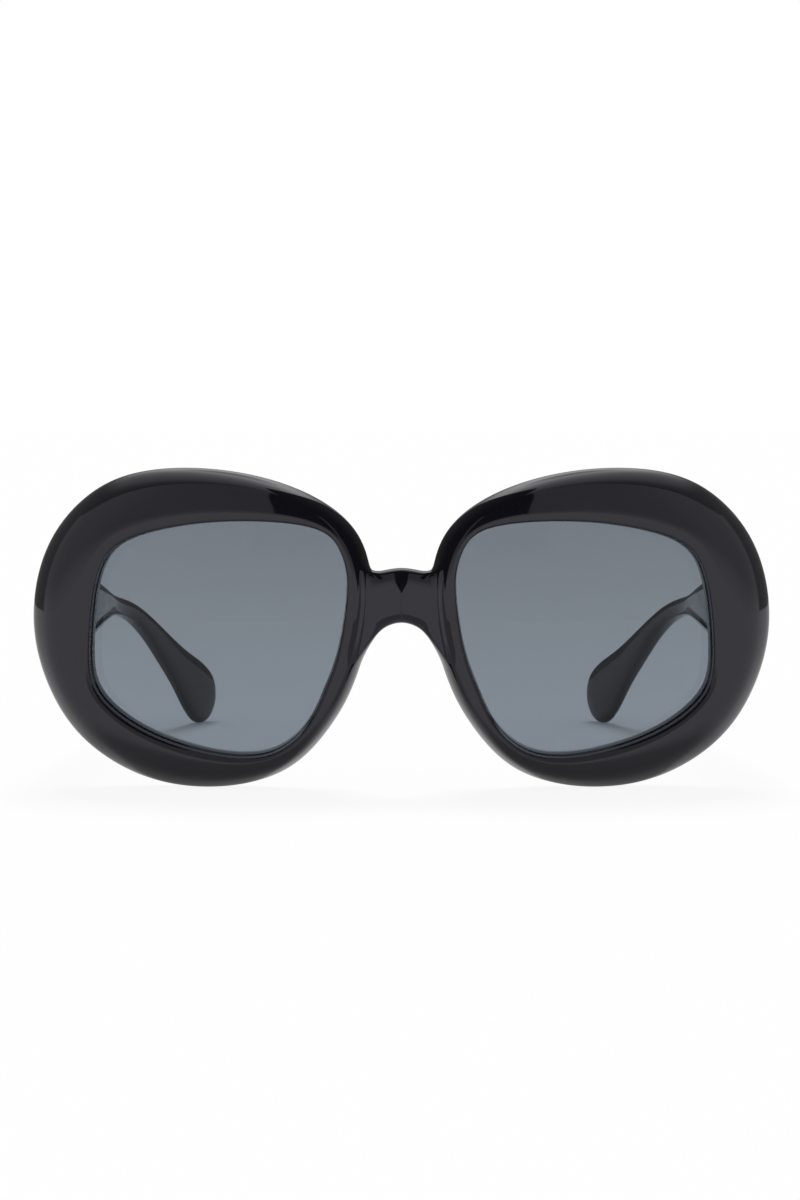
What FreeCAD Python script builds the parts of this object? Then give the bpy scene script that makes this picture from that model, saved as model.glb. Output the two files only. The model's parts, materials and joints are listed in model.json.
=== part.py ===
import FreeCAD
import Part
import Sketcher
import math
import os
from types import SimpleNamespace

# Oversized sunglasses, standing open on a table.
# X runs across the face, Y from the front to the back, Z up; the table is at zero.
# The wearer's left half is drawn, and the right half is its mirror image.

Vector = FreeCAD.Vector
doc = FreeCAD.newDocument("Sunglasses")

sizes = {
    # whole
    "front_width": 150,             # across both rims
    "front_height": 65.2,
    "overall_depth": 144.3,         # front of the rims to the back of the temple tips
    "overrun": 1,                   # how far a cutting shape runs past what it cuts
    # rims
    "rim_gap": 11.6,                # between the rims, where the bridge joins them
    "rim_depth": 10.2,              # front to back
    "wrap_angle": 6,                # each rim is turned back round the face
    "nasal_wall": 5.35,             # rim beside the nose
    "outer_wall": 12.65,            # rim beside the temple
    "top_wall": 10.9,               # rim over the opening
    "bottom_wall": 7.7,             # rim under the opening
    "wide_flare": 1.2,              # slope of the opening's wall, outer and lower sides
    "narrow_flare": 0.3,            # slope of the opening's wall, inner and upper sides
    # bridge
    "bridge_drop": 20,              # top of the bridge below the tops of the rims
    "bridge_height": 11.2,
    "bridge_depth": 6.2,
    "bridge_setback": 1.5,          # front of the bridge behind the front of the rims
    "bridge_root": 4.2,             # how far its ends run into the rims
    "bridge_dip": 0.8,              # its top edge sinks beside the crown in the middle
    "bridge_arch": 9,               # its lower edge sinks into the rims
    # lenses
    "lens_radius": 132,
    "lens_thickness": 2,
    "lens_depth": 1.7,              # middle of the lens behind the front of the rim
    "lens_bite": 0.7,               # edge of the lens that sits in the groove
    "lens_clearance": 0.06,
    # nose pads
    "pad_half_height": 8,
    "pad_half_width": 1.7,
    "pad_half_depth": 4.4,
    "pad_lean": 23,
    "pad_flare": 8,
    "pad_inset": 2.4,               # middle of the pad behind the nose side of the rim
    # temples
    "hinge_rise": 1.4,              # hinge above the middle of the rims' height
    "hinge_depth": 21.2,            # hinge axis behind the front of the rims
    "temple_inset": 1.3,            # outer face of the temple inside the widest line
    "temple_height": 19,            # at the hinge
    "temple_thickness": 6.4,        # at the hinge
    "waist_height": 4.05,
    "waist_thickness": 3.8,
    "tip_radius": 6.8,
    "tip_thickness": 3.2,
    "temple_bow": 22.4,             # how far the tip bends in
    "butt_gap": 0.3,                # between the end piece and the temple
    "core_radius": 0.6,
    "core_clearance": 0.03,
    # hinges
    "hinge_height": 7.5,
    "knuckle_radius": 1.6,
    "knuckle_gap": 0.08,
    "pin_radius": 0.7,
    "pin_clearance": 0.05,
    "pin_head_radius": 1.25,
    "pin_head_height": 0.8,
    "pivot_inset": 0.6,             # axis inside the inner face of the temple
    "leaf_thickness": 1,
    "leaf_length": 7,
    "leaf_setback": 1.8,            # leaf starts clear of the other leaf's knuckles
    "leaf_clearance": 0.05,
    "knuckle_relief": 0.3,
    "screw_radius": 0.5,
    "screw_length": 3.6,
    "screw_head_radius": 0.95,
    "screw_head_height": 0.5,
    "screw_clearance": 0.03,
    "screw_spacing": 4.2,
    "slot_width": 0.36,
    "slot_depth": 0.3,
}

sheet = doc.addObject("Spreadsheet::Sheet", "sizes")
for line, (name, value) in enumerate(sizes.items(), start=1):
    sheet.set(f"A{line}", name)
    sheet.set(f"B{line}", str(value))
    sheet.setAlias(f"B{line}", name)
doc.recompute()
dim = SimpleNamespace(**{name: float(sheet.get(name)) for name in sizes})

knuckle_count = 5
front_face = -dim.overall_depth / 2
wrap_slope = math.tan(math.radians(dim.wrap_angle))
rim_width = (dim.front_width - dim.rim_gap) / 2
opening_left = dim.rim_gap / 2 + dim.nasal_wall
opening_width = rim_width - dim.nasal_wall - dim.outer_wall
opening_height = dim.front_height - dim.bottom_wall - dim.top_wall
bridge_top = dim.front_height - dim.bridge_drop
bridge_reach = dim.rim_gap / 2 + dim.bridge_root
temple_inner = dim.front_width / 2 - dim.temple_inset - dim.temple_thickness
hinge_level = dim.front_height / 2 + dim.hinge_rise
pivot = Vector(temple_inner - dim.pivot_inset, front_face + dim.hinge_depth, hinge_level)
pivot_words = {
    "x": "sizes.front_width / 2 - sizes.temple_inset - sizes.temple_thickness - sizes.pivot_inset",
    "y": "sizes.hinge_depth - sizes.overall_depth / 2",
    "z": "sizes.front_height / 2 + sizes.hinge_rise",
}

# Rim outline, from the nose side round the top, in shares of the rim's width and height.
rim_shares = [
    (0.000, 0.589), (0.019, 0.739), (0.083, 0.846), (0.196, 0.924), (0.356, 0.979),
    (0.542, 1.000), (0.716, 0.979), (0.849, 0.905), (0.951, 0.773), (1.000, 0.605),
    (0.997, 0.442), (0.949, 0.287), (0.852, 0.143), (0.685, 0.034), (0.502, 0.000),
    (0.341, 0.021), (0.213, 0.089), (0.117, 0.206), (0.059, 0.319), (0.019, 0.450),
]
pad_share = rim_shares[-2]    # place on the outline where the nose pad sits
# The lens opening, point for point beside the rim's outline, in shares of its own size.
opening_shares = [
    (0.000, 0.704), (0.011, 0.828), (0.052, 0.922), (0.151, 0.979), (0.329, 1.000),
    (0.522, 0.996), (0.698, 0.970), (0.867, 0.912), (0.955, 0.804), (0.989, 0.628),
    (1.000, 0.412), (0.965, 0.261), (0.840, 0.138), (0.672, 0.053), (0.505, 0.008),
    (0.368, 0.000), (0.251, 0.039), (0.149, 0.148), (0.084, 0.299), (0.031, 0.469),
]
# Section of the rim: share of the way from the opening to the outline, share of the depth.
section_shares = [
    (0.00, 0.055), (0.05, 0.015), (0.13, 0.000), (0.30, 0.010), (0.48, 0.035),
    (0.66, 0.105), (0.80, 0.220), (0.91, 0.370), (0.98, 0.515), (1.00, 0.650),
    (0.97, 0.810), (0.87, 0.935), (0.66, 1.000), (0.30, 1.000), (0.06, 0.970),
]
lens_seat_share = 0.5     # depth at which the opening's sloping wall meets the lens
# Half of the bridge from the middle: shares of its reach, dip, arch and setback.
bridge_shares = [
    (0.00, 0.00, 0.000, 1.00), (0.27, 0.50, 0.080, 0.95), (0.44, 1.00, 0.215, 0.85),
    (0.58, 0.80, 0.410, 0.75), (0.72, 0.60, 0.660, 0.85), (0.86, 0.50, 0.870, 1.05),
    (1.00, 0.40, 1.000, 1.30),
]
# Middle line of the temple: shares of its run, drop, bow, flare to the hinge and to the tip.
temple_shares = [
    (0.00, 0.000, 0.000, 1.00, 0.00), (0.15, 0.005, 0.050, 0.85, 0.00),
    (0.30, 0.020, 0.100, 0.65, 0.00), (0.43, 0.045, 0.145, 0.40, 0.00),
    (0.54, 0.075, 0.185, 0.17, 0.00), (0.63, 0.110, 0.230, 0.03, 0.00),
    (0.70, 0.155, 0.315, 0.00, 0.00), (0.76, 0.240, 0.420, 0.00, 0.02),
    (0.82, 0.390, 0.550, 0.00, 0.13), (0.88, 0.580, 0.690, 0.00, 0.34),
    (0.94, 0.785, 0.845, 0.00, 0.66), (1.00, 1.000, 1.000, 0.00, 1.00),
]
tip_turn_shares = [0.22, 0.44, 0.64, 0.80, 0.91, 0.985]   # shares of a quarter turn round an end
ring_points = 16
squareness = 3            # power of the rounded-rectangle rings
tip_reach_share = 0.87    # how far back the leaning tip reaches, of its radius
tip_bluntness = 0.5       # power by which the tip's thickness fades round its end
core_end_share = 0.93     # end of the core along the temple
screw_place_share = 0.55  # leaf screws along their leaf
head_top_share = 0.6      # flat top of a leaf screw's head


def spline(points, closed, steps):
    curve = Part.BSplineCurve()
    curve.interpolate(Points=points, PeriodicFlag=closed, Parameters=steps)
    return curve


def even_steps(count):
    return [float(step) for step in range(count)]


def skin(rows, row_closed, closed, steps):
    # smooth surface through rows of points
    across = [spline(row, row_closed, even_steps(len(row) + row_closed)) for row in rows]
    columns = zip(*[curve.getPoles() for curve in across])
    along = [spline(list(column), closed, steps) for column in columns]
    net = [list(row) for row in zip(*[curve.getPoles() for curve in along])]
    surface = Part.BSplineSurface()
    surface.buildFromPolesMultsKnots(
        net, along[0].getMultiplicities(), across[0].getMultiplicities(),
        along[0].getKnots(), across[0].getKnots(), closed, row_closed,
        along[0].Degree, across[0].Degree)
    return surface


def solid_of(faces):
    shell = Part.makeShell(faces)
    shell.sewShape()
    solid = Part.Solid(shell)
    if solid.Volume < 0:
        solid.reverse()
    return solid


def capped_solid(rings):
    # solid through closed rings from end to end, with flat ends
    steps = [0.0]
    for last, ring in zip(rings, rings[1:]):
        gaps = [before.distanceToPoint(after) for before, after in zip(last, ring)]
        steps.append(steps[-1] + sum(gaps) / len(gaps))
    surface = skin(rings, True, False, steps)
    ends = [surface.uIso(end).toShape() for end in (steps[0], steps[-1])]
    return solid_of([surface.toShape()] + [Part.Face(Part.Wire([end])) for end in ends])


def ring_at(middle, up, side, half_height, half_thickness, power):
    ring = []
    for point in range(ring_points):
        angle = math.tau * point / ring_points
        rise = math.copysign(abs(math.sin(angle)) ** (2 / power), math.sin(angle))
        reach = math.copysign(abs(math.cos(angle)) ** (2 / power), math.cos(angle))
        ring.append(middle + up * (half_height * rise) + side * (half_thickness * reach))
    return ring


def made(name, shape):
    feature = doc.addObject("Part::Feature", name)
    feature.Shape = shape
    return feature


def joined(name, pieces):
    feature = doc.addObject("Part::MultiFuse", name)
    feature.Shapes = pieces
    return feature


def cut(name, base, tool):
    feature = doc.addObject("Part::Cut", name)
    feature.Base = base
    feature.Tool = tool
    return feature


def overlap(name, first, second):
    feature = doc.addObject("Part::Common", name)
    feature.Base = first
    feature.Tool = second
    return feature


def mirrored(name, source):
    feature = doc.addObject("Part::Mirroring", name)
    feature.Source = source
    feature.Normal = Vector(1, 0, 0)
    return feature


def bind(feature, words):
    for field, formula in words.items():
        feature.setExpression(field, formula)


def place(feature, words):
    bind(feature, {f"Placement.Base.{axis}": formula for axis, formula in words.items()})


def wrapped(point, depth):
    start = dim.rim_gap / 2
    return Vector(point.x, front_face + depth + (point.x - start) * wrap_slope, point.z)


def outline_point(share):
    return Vector(dim.rim_gap / 2 + share[0] * rim_width, 0, share[1] * dim.front_height)


def opening_points(left, right, top, bottom):
    # the opening's outline, grown by so much on each side
    points = []
    for across, high in opening_shares:
        x = opening_left - left + across * (opening_width + left + right)
        z = dim.bottom_wall - bottom + high * (opening_height + top + bottom)
        points.append(Vector(x, 0, z))
    return points


def wall_points(deep):
    # where the opening's wall lies at a share of the depth: it slopes in from the front to the lens
    slope = max(0, 1 - deep / lens_seat_share)
    narrow = dim.narrow_flare * slope
    wide = dim.wide_flare * slope
    return opening_points(narrow, wide, narrow, wide)


def loop(points):
    return spline(points, True, even_steps(len(points) + 1)).toShape()


def rim():
    # domed skin from the front edge of the opening, round the outside, to its back edge
    rows = [[] for share in rim_shares]
    for across, deep in section_shares:
        for row, share, inside in zip(rows, rim_shares, wall_points(deep)):
            outside = outline_point(share)
            row.append(wrapped(inside + (outside - inside) * across, deep * dim.rim_depth))
    dome = skin(rows, False, True, even_steps(len(rows) + 1))
    front_edge = dome.vIso(0).toShape()
    back_edge = dome.vIso(len(section_shares) - 1).toShape()
    seat = loop([wrapped(point, lens_seat_share * dim.rim_depth) for point in wall_points(lens_seat_share)])
    walls = [Part.makeRuledSurface(front_edge, seat), Part.makeRuledSurface(seat, back_edge)]
    return made("rim", solid_of([dome.toShape()] + walls))


def bridge():
    rings = []
    halves = [(-1, share) for share in reversed(bridge_shares[1:])] + [(1, share) for share in bridge_shares]
    for hand, (reach, dip, arch, setback) in halves:
        top = bridge_top - dip * dim.bridge_dip
        bottom = bridge_top - dim.bridge_height - arch * dim.bridge_arch
        middle = Vector(hand * reach * bridge_reach,
                        front_face + setback * dim.bridge_setback + dim.bridge_depth / 2,
                        (top + bottom) / 2)
        rings.append(ring_at(middle, Vector(0, 0, 1), Vector(0, 1, 0),
                             (top - bottom) / 2, dim.bridge_depth / 2, squareness))
    return made("bridge", capped_solid(rings))


def temple_stations():
    # middle, half height and half thickness of the temple from the hinge to the tip
    start = Vector(temple_inner + dim.temple_thickness / 2, pivot.y + dim.butt_gap / 2, pivot.z)
    run = dim.overall_depth / 2 - tip_reach_share * dim.tip_radius - start.y
    drop = pivot.z - dim.tip_radius
    stations = []
    for along, down, bow, flare, paddle in temple_shares:
        middle = start + Vector(-bow * dim.temple_bow, along * run, -down * drop)
        height = (dim.waist_height + flare * (dim.temple_height - dim.waist_height)
                  + paddle * (2 * dim.tip_radius - dim.waist_height))
        thickness = (dim.waist_thickness + flare * (dim.temple_thickness - dim.waist_thickness)
                     + paddle * (dim.tip_thickness - dim.waist_thickness))
        stations.append((middle, height / 2, thickness / 2))
    return stations


def headings(middles):
    # direction of the middle line at each place; the first ring stands square
    ways = [Vector(0, 1, 0)]
    for last, following in zip(middles, middles[2:]):
        ways.append((following - last).normalize())
    ways.append((middles[-1] - middles[-2]).normalize())
    return ways


def square_to(way):
    side = way.cross(Vector(0, 0, 1)).normalize()
    return side.cross(way), side


def temple_blank():
    stations = temple_stations()
    middles = [station[0] for station in stations]
    ways = headings(middles)
    end, half_height, half_thickness = stations[-1]
    for share in tip_turn_shares:
        angle = math.pi / 2 * share
        stations.append((end + ways[-1] * (dim.tip_radius * math.sin(angle)), half_height * math.cos(angle),
                         half_thickness * math.cos(angle) ** tip_bluntness))
        ways.append(ways[-1])
    rings = []
    for (middle, half_height, half_thickness), way in zip(stations, ways):
        up, side = square_to(way)
        rings.append(ring_at(middle, up, side, half_height, half_thickness, squareness))
    return made("temple_blank", capped_solid(rings))


def core_shape(name, radius, lead):
    # round wire along the temple's middle line; lead lengthens it past the hinge end
    reached = [share[0] for share in temple_shares if share[0] < core_end_share]
    middles = [station[0] for station in temple_stations()[:len(reached)]]
    ways = headings(middles)
    middles[0] = middles[0] - ways[0] * lead
    rings = []
    for middle, way in zip(middles, ways):
        up, side = square_to(way)
        rings.append(ring_at(middle, up, side, radius, radius, 2))
    return made(name, capped_solid(rings))


def end_piece():
    # block behind the rim that the temple butts against, with the temple's own section
    middle = Vector(temple_inner + dim.temple_thickness / 2, pivot.y - dim.butt_gap / 2, pivot.z)
    length = dim.hinge_depth - dim.rim_depth
    middles = [middle - Vector(0, length, 0), middle - Vector(0, length / 2, 0), middle]
    rings = [ring_at(spot, Vector(0, 0, 1), Vector(1, 0, 0), dim.temple_height / 2,
                     dim.temple_thickness / 2, squareness) for spot in middles]
    return made("end_piece", capped_solid(rings))


def lens_shell(name, clearance):
    # bowl-shaped shell square to the wrapped rim, thicker by the clearance on both sides
    turn = math.radians(dim.wrap_angle)
    middle = Vector(opening_left + opening_width / 2, 0, dim.bottom_wall + opening_height / 2)
    centre = wrapped(middle, dim.lens_depth)
    centre = centre + Vector(-math.sin(turn), math.cos(turn), 0) * dim.lens_radius
    outside = doc.addObject("Part::Sphere", f"{name}_outside")
    outside.setExpression("Radius", f"sizes.lens_radius + {clearance}")
    outside.Placement.Base = centre
    inside = doc.addObject("Part::Sphere", f"{name}_inside")
    inside.setExpression("Radius", f"sizes.lens_radius - sizes.lens_thickness - {clearance}")
    inside.Placement.Base = centre
    return cut(f"{name}_shell", outside, inside)


def lens_disc(name, grow, clearance):
    points = [wrapped(point, -dim.rim_depth) for point in opening_points(grow, grow, grow, grow)]
    wire = made(f"{name}_outline", Part.Wire([loop(points)]))
    prism = doc.addObject("Part::Extrusion", f"{name}_prism")
    prism.Base = wire
    prism.DirMode = "Custom"
    prism.Dir = Vector(0, 1, 0)
    prism.Solid = True
    prism.setExpression("LengthFwd", "3 * sizes.rim_depth")
    return overlap(name, lens_shell(name, clearance), prism)


def sketch_on(body, name, role):
    sketch = body.newObject("Sketcher::SketchObject", name)
    plane = [feature for feature in body.Origin.OriginFeatures if feature.Role == role][0]
    sketch.AttachmentSupport = [(plane, "")]
    sketch.MapMode = "FlatFace"
    return sketch


def add_outline(sketch, corners):
    # closed straight-sided outline whose corners are bound to formulas
    first = sketch.GeometryCount
    last = len(corners) - 1
    for corner in range(len(corners)):
        turn = math.tau * corner / len(corners)
        following = math.tau * (corner + 1) / len(corners)
        sketch.addGeometry(Part.LineSegment(Vector(math.cos(turn), math.sin(turn), 0),
                                            Vector(math.cos(following), math.sin(following), 0)))
    for corner in range(len(corners)):
        before = first + (corner - 1 if corner else last)
        sketch.addConstraint(Sketcher.Constraint("Coincident", before, 2, first + corner, 1))
    for corner, (across, high) in enumerate(corners):
        for kind, formula in (("DistanceX", across), ("DistanceY", high)):
            index = sketch.addConstraint(Sketcher.Constraint(kind, -1, 1, first + corner, 1, 1.0))
            sketch.setExpression(f"Constraints[{index}]", formula)


def add_circle(sketch, across, high, radius):
    circle = sketch.addGeometry(Part.Circle(Vector(0, 0, 0), Vector(0, 0, 1), 1))
    index = sketch.addConstraint(Sketcher.Constraint("Radius", circle, 1.0))
    sketch.setExpression(f"Constraints[{index}]", radius)
    for kind, formula in (("DistanceX", across), ("DistanceY", high)):
        index = sketch.addConstraint(Sketcher.Constraint(kind, -1, 1, circle, 3, 1.0))
        sketch.setExpression(f"Constraints[{index}]", formula)


def box_corners(low, high):
    return [(low[0], low[1]), (high[0], low[1]), (high[0], high[1]), (low[0], high[1])]


def pad(body, sketch, length):
    feature = body.newObject("PartDesign::Pad", f"{sketch.Name}_pad")
    feature.Profile = sketch
    feature.Midplane = True
    feature.setExpression("Length", length)
    sketch.Visibility = False
    return feature


def pocket(body, sketch, length):
    feature = body.newObject("PartDesign::Pocket", f"{sketch.Name}_pocket")
    feature.Profile = sketch
    feature.Midplane = True
    feature.setExpression("Length", length)
    return feature


def revolved(body, sketch, axis):
    feature = body.newObject("PartDesign::Revolution", f"{sketch.Name}_turned")
    feature.Profile = sketch
    feature.ReferenceAxis = (sketch, [axis])
    feature.Angle = 360
    return feature


def hinge_leaf(name, side, knuckles):
    # flat leaf with knuckles round the hinge axis; side is -1 to the front and 1 to the back
    body = doc.addObject("PartDesign::Body", name)
    place(body, pivot_words)
    inner = "sizes.pivot_inset"
    outer = "sizes.pivot_inset + sizes.leaf_thickness"
    plate = sketch_on(body, f"{name}_plate", "XY_Plane")
    far_end = f"{side} * (sizes.leaf_setback + sizes.leaf_length)"
    add_outline(plate, box_corners((inner, "0"), (outer, far_end)))
    pad(body, plate, "sizes.hinge_height")
    barrel = sketch_on(body, f"{name}_barrel", "XY_Plane")
    add_circle(barrel, "0", "0", "sizes.knuckle_radius")
    pad(body, barrel, "sizes.hinge_height")
    slots = sketch_on(body, f"{name}_slots", "XZ_Plane")
    pitch = f"(sizes.hinge_height + sizes.knuckle_gap) / {knuckle_count}"
    reach = "sizes.knuckle_radius + sizes.overrun"
    for knuckle in range(knuckle_count):
        if knuckle not in knuckles:
            low = f"{knuckle} * {pitch} - sizes.hinge_height / 2 - sizes.knuckle_gap"
            high = f"{knuckle + 1} * {pitch} - sizes.hinge_height / 2"
            add_outline(slots, box_corners((f"-({reach})", low), (reach, high)))
    pocket(body, slots, "2 * sizes.leaf_setback")
    bore = sketch_on(body, f"{name}_bore", "XY_Plane")
    add_circle(bore, "0", "0", "sizes.pin_radius + sizes.pin_clearance")
    pocket(body, bore, "sizes.hinge_height + sizes.overrun")
    holes = sketch_on(body, f"{name}_holes", "YZ_Plane")
    for half in (-1, 1):
        add_circle(holes, screw_along(side), f"{half} * sizes.screw_spacing / 2",
                   "sizes.screw_radius + sizes.screw_clearance")
    pocket(body, holes, f"2 * ({outer} + sizes.overrun)")
    return body


def screw_along(side):
    return f"{side} * (sizes.leaf_setback + {screw_place_share} * sizes.leaf_length)"


def leaf_screws(name, side):
    # two round-headed screws through one leaf
    bodies = []
    for half in (-1, 1):
        body = doc.addObject("PartDesign::Body", f"{name}_{half + 2}")
        place(body, {
            "x": pivot_words["x"] + " + sizes.pivot_inset",
            "y": pivot_words["y"] + " + " + screw_along(side),
            "z": pivot_words["z"] + f" + {half} * sizes.screw_spacing / 2",
        })
        profile = sketch_on(body, f"{body.Name}_profile", "XZ_Plane")
        add_outline(profile, [
            ("-sizes.screw_head_height", "0"),
            ("sizes.screw_length", "0"),
            ("sizes.screw_length", "sizes.screw_radius"),
            ("0", "sizes.screw_radius"),
            ("0", "sizes.screw_head_radius"),
            ("-sizes.screw_head_height / 2", "sizes.screw_head_radius"),
            ("-sizes.screw_head_height", f"sizes.screw_head_radius * {head_top_share}"),
        ])
        revolved(body, profile, "H_Axis")
        slot = sketch_on(body, f"{body.Name}_slot", "XY_Plane")
        add_outline(slot, box_corners(
            ("-sizes.screw_head_height - sizes.overrun", "-sizes.slot_width / 2"),
            ("sizes.slot_depth - sizes.screw_head_height", "sizes.slot_width / 2")))
        pocket(body, slot, "2 * (sizes.screw_head_radius + sizes.overrun)")
        bodies.append(body)
    group = doc.addObject("Part::Compound", name)
    group.Links = bodies
    return group


def hinge_screw(name):
    # slotted pin through all the knuckles, its head on the uppermost one
    body = doc.addObject("PartDesign::Body", name)
    place(body, pivot_words)
    half = "sizes.hinge_height / 2"
    profile = sketch_on(body, f"{name}_profile", "XZ_Plane")
    add_outline(profile, [
        ("0", f"-{half}"),
        ("sizes.pin_radius", f"-{half}"),
        ("sizes.pin_radius", half),
        ("sizes.pin_head_radius", half),
        ("sizes.pin_head_radius", f"{half} + sizes.pin_head_height"),
        ("0", f"{half} + sizes.pin_head_height"),
    ])
    revolved(body, profile, "V_Axis")
    slot = sketch_on(body, f"{name}_slot", "XZ_Plane")
    add_outline(slot, box_corners(
        ("-sizes.slot_width / 2", f"{half} + sizes.pin_head_height - sizes.slot_depth"),
        ("sizes.slot_width / 2", f"{half} + sizes.pin_head_height + sizes.overrun")))
    pocket(body, slot, "2 * (sizes.pin_head_radius + sizes.overrun)")
    return body


def hinge_recess(name, side):
    # pocket for one leaf, hollow for the knuckles and pilot holes for the screws
    well = doc.addObject("Part::Cylinder", f"{name}_well")
    depth = "sizes.hinge_height + 2 * sizes.knuckle_relief + sizes.pin_head_height"
    bind(well, {"Radius": "sizes.knuckle_radius + sizes.knuckle_relief", "Height": depth})
    below = " - sizes.hinge_height / 2 - sizes.knuckle_relief"
    place(well, dict(pivot_words, z=pivot_words["z"] + below))
    seat = doc.addObject("Part::Box", f"{name}_seat")
    length = "(sizes.leaf_setback + sizes.leaf_length + sizes.leaf_clearance)"
    bind(seat, {
        "Length": "sizes.leaf_thickness + sizes.leaf_clearance + sizes.overrun",
        "Width": length,
        "Height": "sizes.hinge_height + 2 * sizes.leaf_clearance",
    })
    place(seat, {
        "x": pivot_words["x"] + " + sizes.pivot_inset - sizes.overrun",
        "y": pivot_words["y"] + (f" - {length}" if side < 0 else ""),
        "z": pivot_words["z"] + " - sizes.hinge_height / 2 - sizes.leaf_clearance",
    })
    tools = [well, seat]
    for half in (-1, 1):
        pilot = doc.addObject("Part::Cylinder", f"{name}_pilot")
        bind(pilot, {
            "Radius": "sizes.screw_radius + sizes.screw_clearance",
            "Height": "sizes.screw_length + sizes.screw_clearance",
        })
        pilot.Placement.Rotation = FreeCAD.Rotation(Vector(0, 0, 1), Vector(1, 0, 0))
        place(pilot, {
            "x": pivot_words["x"] + " + sizes.pivot_inset",
            "y": pivot_words["y"] + " + " + screw_along(side),
            "z": pivot_words["z"] + f" + {half} * sizes.screw_spacing / 2",
        })
        tools.append(pilot)
    return joined(name, tools)


def nose_pad_blank():
    # long rounded pad on the inner edge of the rim, leaning and flaring as the side of a nose does
    turn = FreeCAD.Rotation(-dim.pad_flare, -dim.pad_lean, 0)
    side, deep, up = [turn.multVec(axis) for axis in (Vector(1, 0, 0), Vector(0, 1, 0), Vector(0, 0, 1))]
    spot = wrapped(outline_point(pad_share) + Vector(dim.pad_inset, 0, 0), dim.rim_depth)
    turn_shares = [-share for share in reversed(tip_turn_shares)] + [0] + tip_turn_shares
    rings = []
    for share in turn_shares:
        angle = math.pi / 2 * share
        middle = spot + up * (dim.pad_half_height * math.sin(angle))
        rings.append(ring_at(middle, side, deep, dim.pad_half_width * math.cos(angle),
                             dim.pad_half_depth * math.cos(angle), 2))
    return made("nose_pad_blank", capped_solid(rings))


half_rim = rim()
crossing = bridge()
groove = lens_disc("groove", dim.lens_bite + dim.lens_clearance, "sizes.lens_clearance")
grooved = cut("grooved_rim", half_rim, groove)
half_front = cut("half_front", joined("half_blank", [grooved, end_piece()]), hinge_recess("front_recess", -1))
front = joined("front", [half_front, mirrored("half_front_mirror", half_front), crossing])

halves = {
    "lens": lens_disc("lens", dim.lens_bite, "0"),
    "nose_pad": cut("nose_pad", cut("nose_pad_seat", nose_pad_blank(), half_rim), crossing),
    "front_hinge_leaf": hinge_leaf("front_hinge_leaf", -1, (0, 2, 4)),
    "front_leaf_screws": leaf_screws("front_leaf_screws", -1),
    "hinge_screw": hinge_screw("hinge_screw"),
    "temple_hinge_leaf": hinge_leaf("temple_hinge_leaf", 1, (1, 3)),
    "temple_leaf_screws": leaf_screws("temple_leaf_screws", 1),
    "temple_core": core_shape("temple_core", dim.core_radius, 0),
}
channel = core_shape("core_channel", dim.core_radius + dim.core_clearance, dim.overrun)
recess = hinge_recess("temple_recess", 1)
halves["temple"] = cut("temple", cut("temple_bored", temple_blank(), channel), recess)

pieces = {"front_frame": front}
for name, half in halves.items():
    pieces[f"left_{name}"] = half
    pieces[f"right_{name}"] = mirrored(f"right_{name}", half)
for name, piece in pieces.items():
    piece.Label = name
doc.recompute()

for feature in doc.Objects:
    if "Invalid" in feature.State or "Error" in feature.State:
        raise RuntimeError(f"{feature.Label} failed")
for name, piece in pieces.items():
    if piece.Shape.isNull() or not piece.Shape.isValid():
        raise RuntimeError(f"{name} has no valid shape")

os.makedirs("parts", exist_ok=True)
for name, piece in pieces.items():
    print(name, len(piece.Shape.Solids), round(piece.Shape.Volume, 2))
    piece.Shape.exportStep(f"parts/{name}.step")
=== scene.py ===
import json
import math
import bmesh
import bpy
import numpy as np
from mathutils import Euler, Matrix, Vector

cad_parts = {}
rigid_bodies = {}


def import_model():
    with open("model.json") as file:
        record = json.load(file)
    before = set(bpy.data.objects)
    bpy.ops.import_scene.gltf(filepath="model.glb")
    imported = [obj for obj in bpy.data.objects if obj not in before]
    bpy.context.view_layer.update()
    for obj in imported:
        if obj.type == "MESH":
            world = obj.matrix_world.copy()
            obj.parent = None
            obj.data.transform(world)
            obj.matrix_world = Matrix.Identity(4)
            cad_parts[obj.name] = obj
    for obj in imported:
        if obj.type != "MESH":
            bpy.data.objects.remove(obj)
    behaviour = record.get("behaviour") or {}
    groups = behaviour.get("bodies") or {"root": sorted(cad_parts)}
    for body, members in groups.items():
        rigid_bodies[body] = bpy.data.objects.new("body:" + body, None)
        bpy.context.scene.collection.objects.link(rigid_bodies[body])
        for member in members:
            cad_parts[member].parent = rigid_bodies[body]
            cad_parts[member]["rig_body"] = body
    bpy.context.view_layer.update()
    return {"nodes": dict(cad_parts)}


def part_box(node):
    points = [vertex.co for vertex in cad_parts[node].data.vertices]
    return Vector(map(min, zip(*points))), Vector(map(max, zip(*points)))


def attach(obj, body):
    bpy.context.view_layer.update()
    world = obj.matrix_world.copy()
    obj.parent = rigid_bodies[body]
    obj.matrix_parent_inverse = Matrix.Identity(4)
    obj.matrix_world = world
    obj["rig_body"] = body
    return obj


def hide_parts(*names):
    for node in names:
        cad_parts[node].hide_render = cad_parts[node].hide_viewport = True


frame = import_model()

nodes = frame["nodes"]
metres = 0.001      # shapes are drawn in millimetres and set down in metres
mergeGap = 1e-6     # metres
creaseAngle = math.radians(35)      # edges sharper than this stay crisp
acrossWay, backWay, upWay = np.eye(3)
sides = {"left": 1, "right": -1}
print("frame loaded:", len(nodes), "nodes")


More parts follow.
